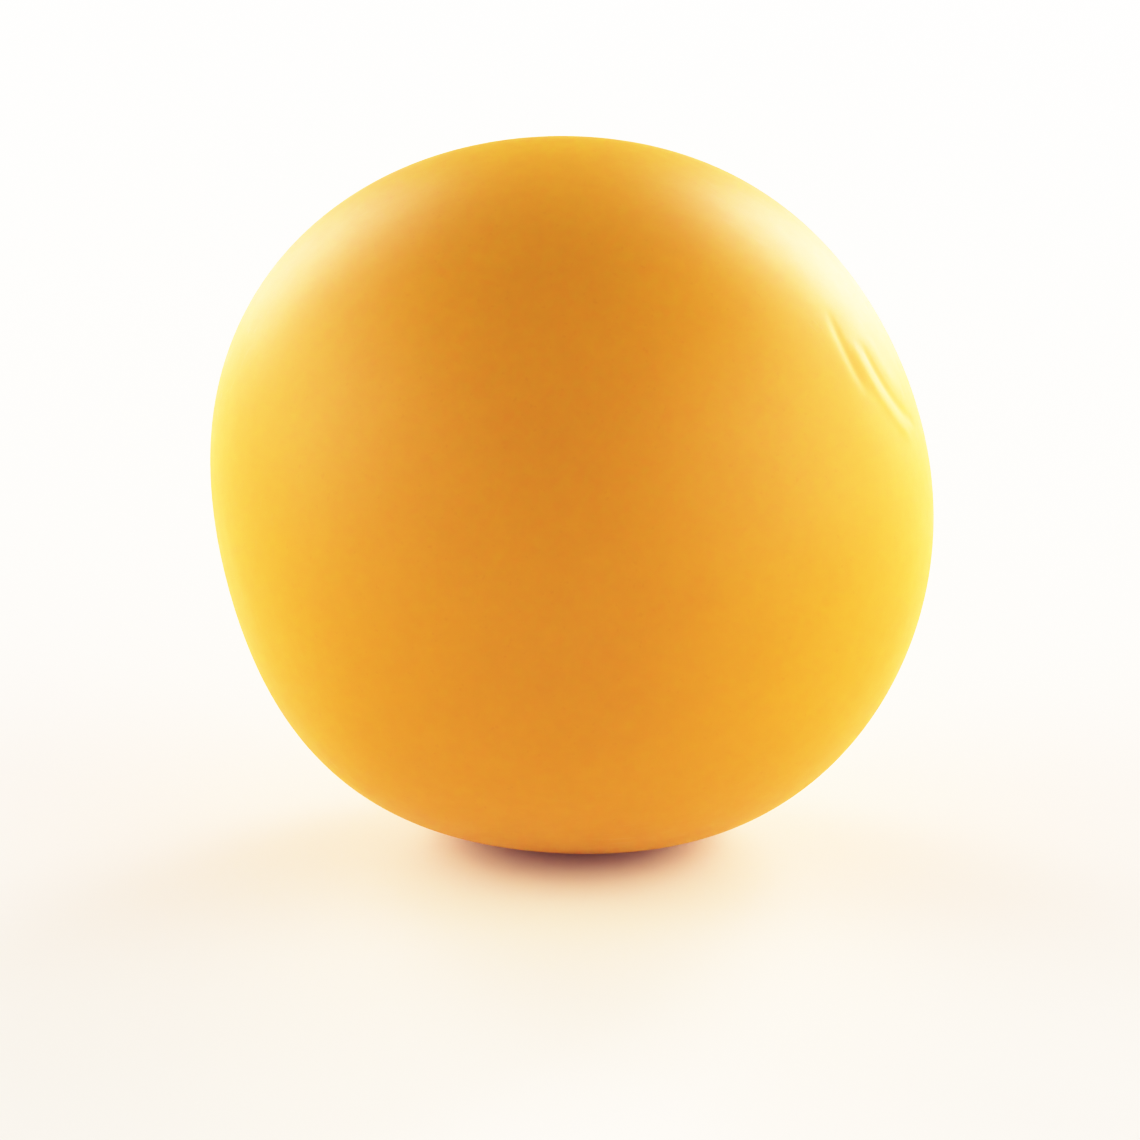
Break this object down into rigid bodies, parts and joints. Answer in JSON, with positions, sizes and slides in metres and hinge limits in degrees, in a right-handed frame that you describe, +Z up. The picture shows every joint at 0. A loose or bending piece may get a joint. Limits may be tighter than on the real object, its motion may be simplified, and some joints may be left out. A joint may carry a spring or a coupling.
{
  "type": "table tennis ball",
  "caption": "Hollow orange plastic table tennis ball, slightly out of round, two half shells welded at a lap joint, standing on a small flat.",
  "frame": {"origin": "middle of the small flat on which the ball stands", "axes": "+Z up from the resting flat, -Y towards the front half shell, whose pole is raised 17 degrees, +X to the right seen from the front"},
  "size_m": [0.0398, 0.04, 0.0393],
  "materials": {
    "orange_shell": "fine matt moulded ABS in orange yellow, with a faint grain",
    "weld": "the same plastic, dissolved and set again, a little darker and smoother"
  },
  "bodies": {
    "root": {"front_half_shell": "orange_shell", "rear_half_shell": "orange_shell", "seam_weld": "weld"}
  },
  "joints": []
}
